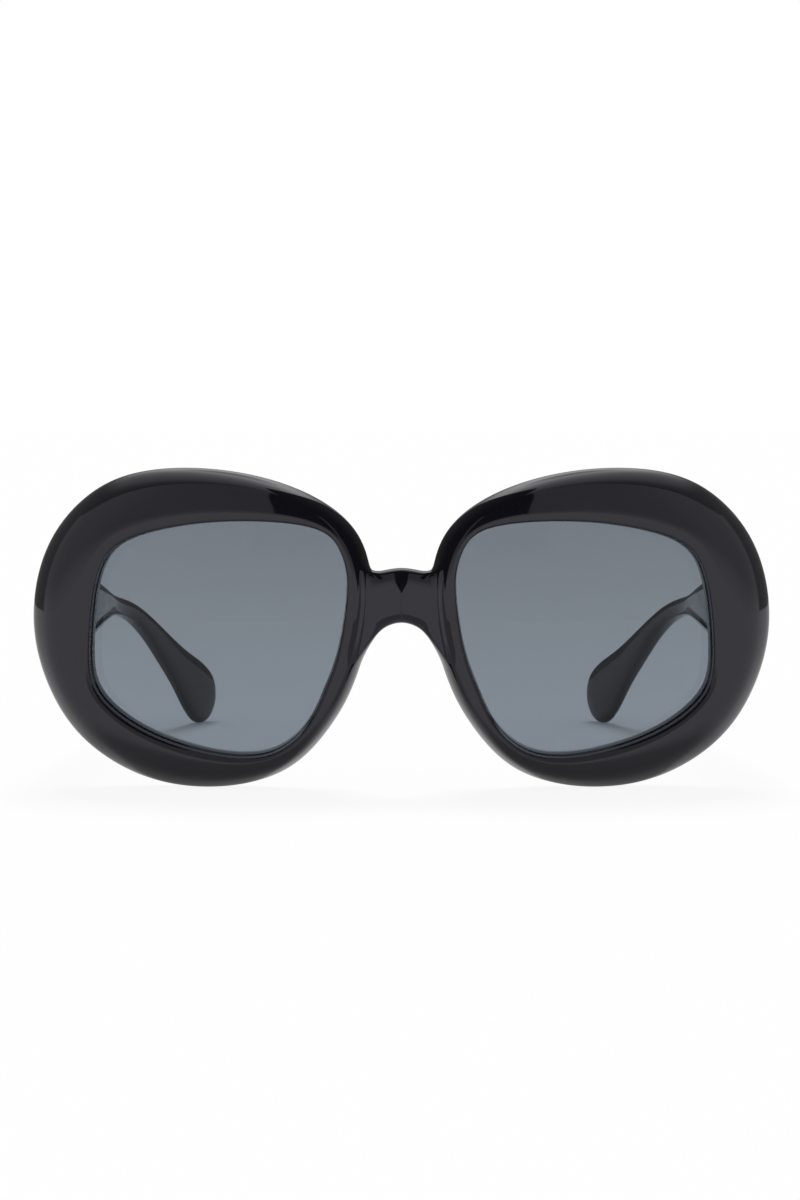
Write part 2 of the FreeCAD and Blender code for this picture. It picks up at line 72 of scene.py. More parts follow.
def smoothLine(points, places, closed=False):
    # smooth curve through the points; the answer gives the point at any place along it
    points = np.array(points, float)
    places = np.array(places, float)
    if closed:
        points = np.vstack([points, points[:1]])
    count = len(points)
    gaps = np.diff(places)
    slopes = np.diff(points, axis=0) / gaps[:, None]
    weights = np.eye(count)
    bends = np.zeros_like(points)
    for i in range(1, count - 1):
        weights[i, i - 1:i + 2] = gaps[i - 1], 2 * (gaps[i - 1] + gaps[i]), gaps[i]
        bends[i] = 6 * (slopes[i] - slopes[i - 1])
    if closed:
        weights[0, [0, 1, -2]] = 2 * (gaps[0] + gaps[-1]), gaps[0], gaps[-1]
        bends[0] = 6 * (slopes[0] - slopes[-1])
        weights[-1, 0] = -1
    bends = np.linalg.solve(weights, bends)

    def at(place):
        if closed:
            place = places[0] + (place - places[0]) % (places[-1] - places[0])
        i = min(max(int(np.searchsorted(places, place, side="right")) - 1, 0), count - 2)
        gap = gaps[i]
        after = (place - places[i]) / gap
        before = 1 - after
        bend = (before ** 3 - before) * bends[i] + (after ** 3 - after) * bends[i + 1]
        return before * points[i] + after * points[i + 1] + bend * gap * gap / 6

    return at


def roundedRing(middle, up, side, halfHeight, halfThickness, power, turns):
    # rounded rectangle; its last point closes it
    ring = []
    for turn in turns:
        rise = math.copysign(abs(math.sin(turn)) ** (2 / power), math.sin(turn))
        reach = math.copysign(abs(math.cos(turn)) ** (2 / power), math.cos(turn))
        ring.append(middle + up * (halfHeight * rise) + side * (halfThickness * reach))
    return np.array(ring)


def fullTurn(count):
    return [math.tau * step / count for step in range(count + 1)]


def onlySelect(piece):
    bpy.ops.object.select_all(action="DESELECT")
    bpy.context.view_layer.objects.active = piece
    piece.select_set(True)


def wrapSheet(name, rows, holes=()):
    # a grid laid over rows of points, with windows cut out of it and the edges that meet merged
    rows = np.array(rows) * metres
    along, across = rows.shape[0] - 1, rows.shape[1] - 1
    bpy.ops.object.select_all(action="DESELECT")
    bpy.context.tool_settings.mesh_select_mode = (False, False, True)
    bpy.ops.mesh.primitive_grid_add(x_subdivisions=across, y_subdivisions=along, size=2)
    piece = bpy.context.active_object
    piece.name = piece.data.name = name
    bpy.ops.object.mode_set(mode="EDIT")
    bpy.ops.mesh.select_all(action="DESELECT")
    mesh = bmesh.from_edit_mesh(piece.data)
    for face in mesh.faces:
        middle = face.calc_center_median()
        column, row = (middle.x + 1) / 2 * across, (middle.y + 1) / 2 * along
        for rowStart, rowEnd, columnStart, columnEnd in holes:
            if rowStart < row < rowEnd and columnStart < column < columnEnd:
                face.select_set(True)
    for vert in mesh.verts:
        column, row = round((vert.co.x + 1) / 2 * across), round((vert.co.y + 1) / 2 * along)
        vert.co = rows[row, column]
    bmesh.update_edit_mesh(piece.data)
    bpy.ops.mesh.delete(type="FACE")
    bpy.ops.mesh.select_all(action="SELECT")
    bpy.ops.mesh.remove_doubles(threshold=mergeGap)
    bpy.ops.mesh.normals_make_consistent(inside=False)
    bpy.ops.object.mode_set(mode="OBJECT")
    return piece


def bridgeRims(piece, lowX, highX):
    # faces between the two open edges that lie between these places
    onlySelect(piece)
    bpy.ops.object.mode_set(mode="EDIT")
    bpy.context.tool_settings.mesh_select_mode = (False, True, False)
    bpy.ops.mesh.select_all(action="DESELECT")
    mesh = bmesh.from_edit_mesh(piece.data)
    for edge in mesh.edges:
        if edge.is_boundary and all(lowX < vert.co.x / metres < highX for vert in edge.verts):
            edge.select_set(True)
    bmesh.update_edit_mesh(piece.data)
    bpy.ops.mesh.bridge_edge_loops()
    bpy.ops.object.mode_set(mode="OBJECT")


def applyModifier(piece, kind, **settings):
    onlySelect(piece)
    modifier = piece.modifiers.new(kind.lower(), kind)
    for field, value in settings.items():
        setattr(modifier, field, value)
    bpy.ops.object.modifier_apply(modifier=modifier.name)


def subdivide(piece, levels):
    applyModifier(piece, "SUBSURF", levels=levels, render_levels=levels)


def recalculate(piece):
    onlySelect(piece)
    bpy.ops.object.mode_set(mode="EDIT")
    bpy.ops.mesh.select_all(action="SELECT")
    bpy.ops.mesh.normals_make_consistent(inside=False)
    bpy.ops.object.mode_set(mode="OBJECT")


def standFor(piece, nodeName):
    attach(piece, nodes[nodeName]["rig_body"])
    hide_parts(nodeName)
    print(piece.name, len(piece.data.polygons), "faces")
    return piece


hinge = {
    "inset": 0.6,               # axis inside the inner face of the temple
    "wellRadius": 1.9,
    "wellBelow": 4.05,
    "wellHeight": 8.9,
    "seatDepth": 1.05,          # pocket that a leaf lies in
    "seatLength": 8.85,
    "seatHeight": 7.6,
    "overrun": 1,
    "sides": 48,
}
screwLow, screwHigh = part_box("left_hinge_screw")
pivotX = (screwLow[0] + screwHigh[0]) / 2 / metres
pivotY = (screwLow[1] + screwHigh[1]) / 2 / metres
pivotZ = 34


def cutRecess(piece, hand, toBack):
    # hollow for the knuckles and pocket for one leaf
    bpy.ops.object.select_all(action="DESELECT")
    wellMiddle = pivotZ - hinge["wellBelow"] + hinge["wellHeight"] / 2
    bpy.ops.mesh.primitive_cylinder_add(
        vertices=hinge["sides"], radius=hinge["wellRadius"] * metres, depth=hinge["wellHeight"] * metres,
        location=(hand * pivotX * metres, pivotY * metres, wellMiddle * metres))
    well = bpy.context.active_object
    seatWidth = hinge["seatDepth"] + hinge["overrun"]
    seatX = pivotX + hinge["inset"] - hinge["overrun"] + seatWidth / 2
    seatY = pivotY + toBack * hinge["seatLength"] / 2
    bpy.ops.mesh.primitive_cube_add(
        size=metres, location=(hand * seatX * metres, seatY * metres, pivotZ * metres),
        scale=(seatWidth, hinge["seatLength"], hinge["seatHeight"]))
    seat = bpy.context.active_object
    for cutter in (well, seat):
        applyModifier(piece, "BOOLEAN", operation="DIFFERENCE", solver="EXACT", object=cutter)
        bpy.data.objects.remove(cutter, do_unlink=True)


rim = {
    "frontFace": -72.15,
    "gap": 11.6,
    "width": 69.2,
    "height": 65.2,
    "depth": 10.2,
    "wrap": 6,                  # degrees that each rim turns back round the face
    "openingLeft": 11.15,
    "openingWidth": 51.2,
    "openingBottom": 7.7,
    "openingHeight": 46.6,
    "wideFlare": 1.2,
    "narrowFlare": 0.3,
    "lensSeat": 0.5,
    "ledge": (0.2, 0.65),       # share of the depth, share of the flare left behind it
    # outline and opening in shares of their sizes, from the nose side round the top
    "outline": (
        (0.000, 0.589), (0.019, 0.739), (0.083, 0.846), (0.196, 0.924), (0.356, 0.979),
        (0.542, 1.000), (0.716, 0.979), (0.849, 0.905), (0.951, 0.773), (1.000, 0.605),
        (0.997, 0.442), (0.949, 0.287), (0.852, 0.143), (0.685, 0.034), (0.502, 0.000),
        (0.341, 0.021), (0.213, 0.089), (0.117, 0.206), (0.059, 0.319), (0.019, 0.450)),
    "opening": (
        (0.000, 0.704), (0.011, 0.828), (0.052, 0.922), (0.151, 0.979), (0.329, 1.000),
        (0.522, 0.996), (0.698, 0.970), (0.867, 0.912), (0.955, 0.804), (0.989, 0.628),
        (1.000, 0.412), (0.965, 0.261), (0.840, 0.138), (0.672, 0.053), (0.505, 0.008),
        (0.368, 0.000), (0.251, 0.039), (0.149, 0.148), (0.084, 0.299), (0.031, 0.469)),
    # share of the way from the opening to the outline, share of the depth
    "section": (
        (0.00, 0.055), (0.05, 0.015), (0.13, 0.000), (0.30, 0.010), (0.48, 0.035),
        (0.66, 0.105), (0.80, 0.220), (0.91, 0.370), (0.98, 0.515), (1.00, 0.650),
        (0.97, 0.810), (0.87, 0.935), (0.66, 1.000), (0.30, 1.000), (0.06, 0.970)),
    "sectionPlaces": (0, 0.4, 1, 2, 3, 4, 4.75, 5.5, 6.25, 7, 7.75, 8.5, 9.25, 10,
                      10.75, 11.5, 12.25, 13, 13.75, 14),
    "wallPlaces": (0.93, 0.72, 0.5, 0.29, 0.235, 0.212, 0.188, 0.165, 0.085),
    "firstStation": 5.15,       # counted in outline points
    "stationsEach": 4,
    "bridgeHole": (54, 62, 7, 14),      # stations, then places across the section
    "endHole": (14, 21, 14, 17),
    "mirrorGap": 1e-5,          # metres
    "smoothing": 2,
}
bridge = {
    "top": 45.2,
    "height": 10.9,
    "depth": 6.2,
    "setback": 1.5,
    "reach": 10,
    "dip": 0.8,
    "arch": 9,
    "power": 6,
    "firstCorner": 0.75,        # of half a turn
    "joinStart": 1,             # the open edge in the middle stays out of the join
    # shares of reach, dip, arch and setback, from the rim to the middle
    "rings": ((0.58, 0.80, 0.410, 0.75), (0.44, 1.00, 0.215, 0.85),
              (0.27, 0.50, 0.080, 0.95), (0.00, 0.00, 0.000, 1.00)),
}
endBlock = {
    "middle": 70.5,
    "height": 19,
    "thickness": 6.4,
    "butt": 21.05,              # behind the front of the rims
    "edge": 0.35,
    "rings": (18.6, 20.7),
    "points": 20,
    "power": 3,
}

count = len(rim["outline"])
outlineLine = smoothLine(rim["outline"], range(count + 1), closed=True)
openingLine = smoothLine(rim["opening"], range(count + 1), closed=True)
sectionLine = smoothLine(rim["section"], range(len(rim["section"])))


def wrapped(x, z, depth):
    lean = (x - rim["gap"] / 2) * math.tan(math.radians(rim["wrap"]))
    return np.array([x, rim["frontFace"] + depth + lean, z])


def outlineSpot(station):
    across, high = outlineLine(station)
    return np.array([rim["gap"] / 2 + across * rim["width"], high * rim["height"]])


def openingSpot(station, deep):
    # the wall slopes in from the front edge to the lens
    slope = max(0, 1 - deep / rim["lensSeat"])
    ledge, left = rim["ledge"]
    if deep > ledge:
        slope *= left
    narrow, wide = rim["narrowFlare"] * slope, rim["wideFlare"] * slope
    across, high = openingLine(station)
    x = rim["openingLeft"] - narrow + across * (rim["openingWidth"] + narrow + wide)
    z = rim["openingBottom"] - wide + high * (rim["openingHeight"] + narrow + wide)
    return np.array([x, z])


def rimRow(station):
    row = []
    for place in rim["sectionPlaces"]:
        across, deep = sectionLine(place)
        inside = openingSpot(station, deep)
        x, z = inside + (outlineSpot(station) - inside) * across
        row.append(wrapped(x, z, deep * rim["depth"]))
    across, back = rim["section"][-1]
    for deep in rim["wallPlaces"]:
        inside = openingSpot(station, deep)
        spread = across * max(0, deep - rim["lensSeat"]) / (back - rim["lensSeat"])
        x, z = inside + (outlineSpot(station) - inside) * spread
        row.append(wrapped(x, z, deep * rim["depth"]))
    return row + row[:1]


def bridgeRings():
    # as many points on each side as the hole in the rim has
    rowStart, rowEnd, columnStart, columnEnd = rim["bridgeHole"]
    down, across = rowEnd - rowStart, columnEnd - columnStart
    turns = []
    for quarter, steps in enumerate((down, across, down, across)):
        for step in range(steps):
            turns.append(math.pi * (bridge["firstCorner"] + 0.5 * (quarter + step / steps)))
    turns.append(turns[0])
    rings = []
    for reach, dip, arch, setback in bridge["rings"]:
        top = bridge["top"] - dip * bridge["dip"]
        bottom = bridge["top"] - bridge["height"] - arch * bridge["arch"]
        y = rim["frontFace"] + setback * bridge["setback"] + bridge["depth"] / 2
        middle = np.array([reach * bridge["reach"], y, (top + bottom) / 2])
        rings.append(roundedRing(middle, upWay, backWay, (top - bottom) / 2,
                                 bridge["depth"] / 2, bridge["power"], turns))
    return rings


def endRings():
    last = endBlock["butt"]
    steps = [(depth, 0) for depth in endBlock["rings"]] + [(last, 0), (last, endBlock["edge"])]
    turns = fullTurn(endBlock["points"])
    rings = []
    for depth, inset in steps:
        middle = np.array([endBlock["middle"], rim["frontFace"] + depth, pivotZ])
        rings.append(roundedRing(middle, upWay, acrossWay, endBlock["height"] / 2 - inset,
                                 endBlock["thickness"] / 2 - inset, endBlock["power"], turns))
    rings.append(np.array([rings[-1].mean(axis=0)] * len(rings[-1])))
    return rings


def makeFront():
    stations = count * rim["stationsEach"]
    places = [rim["firstStation"] + step / rim["stationsEach"] for step in range(stations + 1)]
    rows = [rimRow(place) for place in places]
    front = wrapSheet("frontFrame", rows, [rim["bridgeHole"], rim["endHole"]])
    half = [front, wrapSheet("bridgeHalf", bridgeRings()), wrapSheet("endBlock", endRings())]
    onlySelect(front)
    for part in half:
        part.select_set(True)
    bpy.ops.object.join()
    bridgeRims(front, bridge["joinStart"], 2 * bridge["reach"])
    bridgeRims(front, rim["width"] / 2, rim["width"] + rim["gap"])
    recalculate(front)
    applyModifier(front, "MIRROR", use_axis=(True, False, False), use_mirror_merge=True,
                  merge_threshold=rim["mirrorGap"])
    subdivide(front, rim["smoothing"])
    recalculate(front)
    for hand in sides.values():
        cutRecess(front, hand, -1)
    onlySelect(front)
    bpy.ops.object.shade_smooth_by_angle(angle=creaseAngle)
    return standFor(front, "front_frame")


frontPiece = makeFront()


temple = {
    "middle": 70.5,
    "buttGap": 0.15,
    "back": 72.15,
    "height": 19,
    "thickness": 6.4,
    "waistHeight": 4.05,
    "waistThickness": 3.8,
    "tipRadius": 6.8,
    "tipThickness": 3.2,
    "tipReach": 0.87,
    "tipBluntness": 0.5,
    "bow": 22.4,
    "power": 3,
    "points": 32,
    "rows": 56,
    "tipRows": 14,
    "smoothing": 1,
    "edge": 0.35,
    # shares of its run, drop, bow, flare to the hinge and to the tip
    "shares": (
        (0.00, 0.000, 0.000, 1.00, 0.00), (0.15, 0.005, 0.050, 0.85, 0.00),
        (0.30, 0.020, 0.100, 0.65, 0.00), (0.43, 0.045, 0.145, 0.40, 0.00),
        (0.54, 0.075, 0.185, 0.17, 0.00), (0.63, 0.110, 0.230, 0.03, 0.00),
        (0.70, 0.155, 0.315, 0.00, 0.00), (0.76, 0.240, 0.420, 0.00, 0.02),
        (0.82, 0.390, 0.550, 0.00, 0.13), (0.88, 0.580, 0.690, 0.00, 0.34),
        (0.94, 0.785, 0.845, 0.00, 0.66), (1.00, 1.000, 1.000, 0.00, 1.00)),
    "tipTurns": (0.22, 0.44, 0.64, 0.80, 0.91, 0.985),
}


def templeRows():
    start = np.array([temple["middle"], pivotY + temple["buttGap"], pivotZ])
    run = temple["back"] - temple["tipReach"] * temple["tipRadius"] - start[1]
    drop = pivotZ - temple["tipRadius"]
    stations = []
    for along, down, bow, flare, paddle in temple["shares"]:
        middle = start + np.array([-bow * temple["bow"], along * run, -down * drop])
        height = temple["waistHeight"] + flare * (temple["height"] - temple["waistHeight"])
        height += paddle * (2 * temple["tipRadius"] - temple["waistHeight"])
        thickness = temple["waistThickness"] + flare * (temple["thickness"] - temple["waistThickness"])
        thickness += paddle * (temple["tipThickness"] - temple["waistThickness"])
        stations.append((middle, height / 2, thickness / 2))
    middles = [station[0] for station in stations]
    ways = [backWay] + [after - before for before, after in zip(middles, middles[2:])]
    ways.append(middles[-1] - middles[-2])
    ways = [way / np.linalg.norm(way) for way in ways]
    end, halfHeight, halfThickness = stations[-1]
    for share in temple["tipTurns"]:
        turn = math.pi / 2 * share
        middle = end + ways[-1] * (temple["tipRadius"] * math.sin(turn))
        thinning = math.cos(turn) ** temple["tipBluntness"]
        stations.append((middle, halfHeight * math.cos(turn), halfThickness * thinning))
        ways.append(ways[-1])
    turns = fullTurn(temple["points"])
    rings = []
    for (middle, halfHeight, halfThickness), way in zip(stations, ways):
        side = np.cross(way, upWay)
        side = side / np.linalg.norm(side)
        up = np.cross(side, way)
        rings.append(roundedRing(middle, up, side, halfHeight, halfThickness, temple["power"], turns))
    tip = end + ways[-1] * temple["tipRadius"]
    rings.append(np.array([tip] * len(rings[0])))
    gaps = [np.linalg.norm(after - before, axis=1).mean() for before, after in zip(rings, rings[1:])]
    places = np.cumsum([0] + gaps)
    line = smoothLine([ring.ravel() for ring in rings], places)
    tipStart = places[len(temple["shares"]) - 1]
    steps = [temple["edge"]] + list(np.linspace(0, tipStart, temple["rows"] + 1)[1:-1])
    steps += list(np.linspace(tipStart, places[-1], temple["tipRows"] + 1))
    rows = [line(step).reshape(-1, 3) for step in steps]
    butt = rings[0]
    middle = stations[0][0]
    shrink = 1 - 2 * temple["edge"] / temple["thickness"]
    inset = np.array([(point - middle) * shrink + middle for point in butt])
    return [np.array([middle] * len(butt)), inset, butt] + rows


def makeTemple(side, hand):
    piece = wrapSheet(f"{side}Temple", [row * (hand, 1, 1) for row in templeRows()])
    subdivide(piece, temple["smoothing"])
    recalculate(piece)
    cutRecess(piece, hand, 1)
    onlySelect(piece)
    bpy.ops.object.shade_smooth_by_angle(angle=creaseAngle)
    return standFor(piece, f"{side}_temple")


templePieces = [makeTemple(side, hand) for side, hand in sides.items()]


nosePad = {
    "halfHeight": 8,
    "halfWidth": 1.7,
    "halfDepth": 4.4,
    "lean": 23,
    "flare": 8,
    "inset": 2.4,
    "place": 18,                # outline point that it sits beside
    "power": 2,
    "points": 24,
    "rows": 16,
    "smoothing": 1,
}


def makePad(side, hand):
    x, z = outlineSpot(nosePad["place"])
    spot = wrapped(x + nosePad["inset"], z, rim["depth"])
    turn = Euler((0, math.radians(-nosePad["lean"]), math.radians(-nosePad["flare"])), "XYZ").to_matrix()
    axes = [np.array(turn @ Vector(axis)) for axis in (acrossWay, backWay, upWay)]
    turns = fullTurn(nosePad["points"])
    rows = []
    for step in range(nosePad["rows"] + 1):
        tilt = math.pi * (step / nosePad["rows"] - 0.5)
        middle = spot + axes[2] * (nosePad["halfHeight"] * math.sin(tilt))
        ring = roundedRing(middle, axes[0], axes[1], nosePad["halfWidth"] * math.cos(tilt),
                           nosePad["halfDepth"] * math.cos(tilt), nosePad["power"], turns)
        rows.append(ring * (hand, 1, 1))
    piece = wrapSheet(f"{side}NosePad", rows)
    subdivide(piece, nosePad["smoothing"])
    recalculate(piece)
    bpy.ops.object.shade_smooth()
    return standFor(piece, f"{side}_nose_pad")


padPieces = [makePad(side, hand) for side, hand in sides.items()]


lens = {
    "radius": 132,              # of its bowl
    "thickness": 2,
    "depth": 1.7,               # behind the front of the rim
    "bite": 0.68,               # edge hidden in the rim
    "points": 120,
    "shares": (0, 0.06, 0.2, 0.36, 0.52, 0.68, 0.82, 0.92, 0.975, 1),
}


def makeLens(side, hand):
    halfWidth, halfHeight = rim["openingWidth"] / 2, rim["openingHeight"] / 2
    middle = np.array([rim["openingLeft"] + halfWidth, rim["openingBottom"] + halfHeight])
    turn = math.radians(rim["wrap"])
    inward = np.array([-math.sin(turn), math.cos(turn), 0])
    centre = wrapped(*middle, lens["depth"]) + inward * lens["radius"]
    grow = 1 + lens["bite"] / np.array([halfWidth, halfHeight])
    edge = [openingSpot(count * step / lens["points"], 1) for step in range(lens["points"] + 1)]
    layers = [(share, lens["radius"]) for share in lens["shares"]]
    layers += [(share, lens["radius"] - lens["thickness"]) for share in reversed(lens["shares"])]
    rows = []
    for share, radius in layers:
        row = []
        for spot in edge:
            x, z = middle + (spot - middle) * grow * share
            y = centre[1] - math.sqrt(radius ** 2 - (x - centre[0]) ** 2 - (z - centre[2]) ** 2)
            row.append((hand * x, y, z))
        rows.append(row)
    piece = wrapSheet(f"{side}Lens", rows)
    bpy.ops.object.shade_smooth_by_angle(angle=creaseAngle)
    return standFor(piece, f"{side}_lens")


lensPieces = [makeLens(side, hand) for side, hand in sides.items()]


def newMaterial(name):
    material = bpy.data.materials.new(name)
    material.use_nodes = True
    tree = material.node_tree
    return material, tree, tree.nodes["Principled BSDF"]


def addNode(tree, kind, **settings):
    node = tree.nodes.new(kind)
    for field, value in settings.items():
        setattr(node, field, value)
    return node


def setInputs(node, **values):
    for field, value in values.items():
        node.inputs[field].default_value = value


def spanNode(tree, value, low, high):
    # 0 to 1 becomes low to high
    node = addNode(tree, "ShaderNodeMapRange")
    setInputs(node, **{"To Min": low, "To Max": high})
    tree.links.new(value, node.inputs["Value"])
    return node.outputs["Result"]


def toneRamp(tree, value, tones):
    ramp = addNode(tree, "ShaderNodeValToRGB")
    for stop, (place, colour) in zip(ramp.color_ramp.elements, tones):
        stop.position = place
        stop.color = (*colour, 1)
    tree.links.new(value, ramp.inputs["Fac"])
    return ramp.outputs["Color"]


plastic = {
    "ior": 1.525,
    "mirrorTint": (0.92, 0.91, 1, 1),
    "cloudScale": 60,
    "cloudDetail": 3,
    "tones": ((0.3, (0.0030, 0.0027, 0.0052)), (0.7, (0.0044, 0.0040, 0.0072))),
    "haze": (0.03, 0.06),       # roughness
}


def polishedBlack():
    material, tree, shader = newMaterial("polishedBlack")
    setInputs(shader, **{"IOR": plastic["ior"], "Specular Tint": plastic["mirrorTint"]})
    coords = addNode(tree, "ShaderNodeTexCoord")
    cloud = addNode(tree, "ShaderNodeTexNoise")
    setInputs(cloud, Scale=plastic["cloudScale"], Detail=plastic["cloudDetail"])
    tree.links.new(coords.outputs["Object"], cloud.inputs["Vector"])
    tint = toneRamp(tree, cloud.outputs["Fac"], plastic["tones"])
    tree.links.new(tint, shader.inputs["Base Color"])
    haze = spanNode(tree, cloud.outputs["Fac"], *plastic["haze"])
    tree.links.new(haze, shader.inputs["Roughness"])
    return material


glass = {
    "ior": 1.27,                # low, for an anti-glare coat
    # the smoke tint is the lens's own; between these heights it turns lighter towards the bottom, a
    # painted reflection
    "paintedReflectionBottom": 0.008,          # heights in metres
    "paintedReflectionTop": 0.054,
    "tones": ((0, (0.227, 0.262, 0.303)), (1, (0.176, 0.200, 0.231))),
    "backGamma": 0.5,           # the back tints as much as the front
}


def smokeLensPaintedReflection():
    material, tree, shader = newMaterial("smokeLensPaintedReflection")
    setInputs(shader, **{"Transmission Weight": 1, "IOR": glass["ior"], "Roughness": 0})
    coords = addNode(tree, "ShaderNodeTexCoord")
    split = addNode(tree, "ShaderNodeSeparateXYZ")
    tree.links.new(coords.outputs["Object"], split.inputs["Vector"])
    # painted reflection: the tint is lighter towards the bottom of the lens and darker at the top
    height = addNode(tree, "ShaderNodeMapRange")
    setInputs(height, **{"From Min": glass["paintedReflectionBottom"], "From Max": glass["paintedReflectionTop"]})
    tree.links.new(split.outputs["Z"], height.inputs["Value"])
    tint = toneRamp(tree, height.outputs["Result"], glass["tones"])
    tree.links.new(tint, shader.inputs["Base Color"])
    # the front mirrors little and the back only lets light through
    coat = addNode(tree, "ShaderNodeBsdfRefraction")
    setInputs(coat, Roughness=0, IOR=glass["ior"])
    passing = addNode(tree, "ShaderNodeGamma")
    setInputs(passing, Gamma=glass["backGamma"])
    tree.links.new(tint, passing.inputs["Color"])
    tree.links.new(passing.outputs["Color"], coat.inputs["Color"])
    face = addNode(tree, "ShaderNodeNewGeometry")
    blend = addNode(tree, "ShaderNodeMixShader")
    tree.links.new(face.outputs["Backfacing"], blend.inputs["Fac"])
    tree.links.new(shader.outputs["BSDF"], blend.inputs[1])
    tree.links.new(coat.outputs["BSDF"], blend.inputs[2])
    tree.links.new(blend.outputs["Shader"], tree.nodes["Material Output"].inputs["Surface"])
    return material


brushed = {
    "stretch": (4000, 4000, 300),
    "detail": 4,
    "tonePlaces": (0.25, 0.75),
    "shade": 0.82,
    "spread": 0.07,             # of the roughness
}
# colour and roughness
metals = {
    "hingeNickel": ((0.62, 0.60, 0.57), 0.28),
    "screwSteel": ((0.66, 0.66, 0.67), 0.24),
    "coreWire": ((0.60, 0.60, 0.60), 0.30),
}


def satinMetal(name):
    colour, roughness = metals[name]
    material, tree, shader = newMaterial(name)
    setInputs(shader, Metallic=1)
    coords = addNode(tree, "ShaderNodeTexCoord")
    stretch = addNode(tree, "ShaderNodeMapping")
    setInputs(stretch, Scale=brushed["stretch"])
    tree.links.new(coords.outputs["Object"], stretch.inputs["Vector"])
    brush = addNode(tree, "ShaderNodeTexNoise")
    setInputs(brush, Scale=1, Detail=brushed["detail"])
    tree.links.new(stretch.outputs["Vector"], brush.inputs["Vector"])
    shaded = [brushed["shade"] * part for part in colour]
    tint = toneRamp(tree, brush.outputs["Fac"], zip(brushed["tonePlaces"], (shaded, colour)))
    tree.links.new(tint, shader.inputs["Base Color"])
    spread = brushed["spread"]
    grain = spanNode(tree, brush.outputs["Fac"], roughness - spread, roughness + spread)
    tree.links.new(grain, shader.inputs["Roughness"])
    return material


def dress(piece, material):
    piece.data.materials.clear()
    piece.data.materials.append(material)


blackPlastic = polishedBlack()
smoke = smokeLensPaintedReflection()
hingeMetal = satinMetal("hingeNickel")
screwMetal = satinMetal("screwSteel")
wireMetal = satinMetal("coreWire")
for piece in [frontPiece] + templePieces + padPieces:
    dress(piece, blackPlastic)
for piece in lensPieces:
    dress(piece, smoke)
for nodeName, node in nodes.items():
    if "leaf_screws" in nodeName or "hinge_screw" in nodeName:
        dress(node, screwMetal)
    elif "hinge_leaf" in nodeName:
        dress(node, hingeMetal)
    elif "core" in nodeName:
        dress(node, wireMetal)
print("materials set")


studio = {
    "floorSize": 6.0,
    "floorTone": (0.95, 0.95, 0.95, 1),
    # share of plain white in the floor as seen directly, through the lenses and mirrored;
    # the rest takes the shadow
    "floorWhite": (0.9, 0.1, 0.3),
    "skyLevel": 0.45,
    "sunStrength": 2.0,
    "sunSoftness": 25,
    "sunLean": 30,              # from behind, away from upright
    "cameraBack": 0.748,        # camera in front of the rims
    "cameraHeight": 0.0908,
    "cameraAcross": -0.0003,
    "pitch": 3.967,
    "lens": 112.07,
    "sensor": 36,
}
tent = {
    "radius": 1.5,
    "segments": 64,
    "rings": 32,
    "middle": (0, -0.06, 0.035),
    "front": 0.48,
    "frontSide": 0.65,
    "frontEdge": (0.2, 0.6),
    "corner": 0.28,
    "roofAcross": 0.41,
    "roofBack": 0.23,
    "roofEdge": (0.915, 0.945),
    "backEdge": (0.05, 0.18),
    "skirt": 1.0,               # pale lower edge of the front wall
    "skirtEdge": (0.11, -0.08),
    "lampWay": (0, 0.62, 0.785),
    "lampStart": 0.45,
    "lampAcross": -0.9,
    "lampEdge": (0.15, 0.45),
    "lampLevels": ((0.0, 0.22), (0.27, 0.35), (0.4, 0.45), (0.5, 0.62), (0.7, 0.82), (0.82, 1.0),
                   (0.91, 1.3), (0.94, 1.55), (0.976, 2.0), (1.0, 2.6)),
}
# level, lower edge and upper edge of each card, in millimetres
cards = {
    "overBridge": (0.06, ((0, -132, 68), (0, -88, 39), (0, -74, 46), (0, -20, 46)),
                   ((0, -132, 330), (0, -88, 330), (0, -74, 330), (0, -20, 330))),
    "beforeBridge": (0.06, ((-40, -132, 61), (-9, -132, 61), (-7, -132, 110),
                            (7, -132, 110), (9, -132, 61), (40, -132, 61)),
                     ((-11, -132, 330), (-4, -132, 330), (-2, -132, 330),
                      (2, -132, 330), (4, -132, 330), (11, -132, 330))),
    "bridgeWedge": (0.06, ((-0.8, -80, 42), (0, -80, 39.5), (0.8, -80, 42)),
                    ((-3, -80, 60), (0, -80, 60), (3, -80, 60))),
    "besideNose": (0.5, ((0, -115, 20), (0, -88, 20), (0, -76, 20)),
                   ((0, -115, 28), (0, -88, 32), (0, -76, 44))),
}


def sumNode(tree, operation, first, second, third=None):
    node = addNode(tree, "ShaderNodeMath", operation=operation)
    for socket, value in zip(node.inputs, (first, second, third)):
        if isinstance(value, (int, float)):
            socket.default_value = value
        elif value is not None:
            tree.links.new(value, socket)
    return node.outputs["Value"]


def whiteShare(tree, direct, through, mirrored):
    # one share for what the camera sees, what a lens lets through and what is mirrored
    rays = addNode(tree, "ShaderNodeLightPath")
    share = sumNode(tree, "MULTIPLY", rays.outputs["Is Camera Ray"], direct)
    for ray, part in (("Is Transmission Ray", through), ("Is Glossy Ray", mirrored)):
        share = sumNode(tree, "MAXIMUM", share, sumNode(tree, "MULTIPLY", rays.outputs[ray], part))
    return share


def makeFloor():
    bpy.ops.object.select_all(action="DESELECT")
    bpy.ops.mesh.primitive_plane_add(size=studio["floorSize"], location=(0, 0, 0))
    floor = bpy.context.active_object
    floor.name = "floor"
    material, tree, shader = newMaterial("paleFloor")
    setInputs(shader, **{"Base Color": studio["floorTone"], "Roughness": 1, "Specular IOR Level": 0})
    glow = addNode(tree, "ShaderNodeEmission")
    share = whiteShare(tree, *studio["floorWhite"])
    blend = addNode(tree, "ShaderNodeMixShader")
    tree.links.new(share, blend.inputs["Fac"])
    tree.links.new(shader.outputs["BSDF"], blend.inputs[1])
    tree.links.new(glow.outputs["Emission"], blend.inputs[2])
    tree.links.new(blend.outputs["Shader"], tree.nodes["Material Output"].inputs["Surface"])
    dress(floor, material)


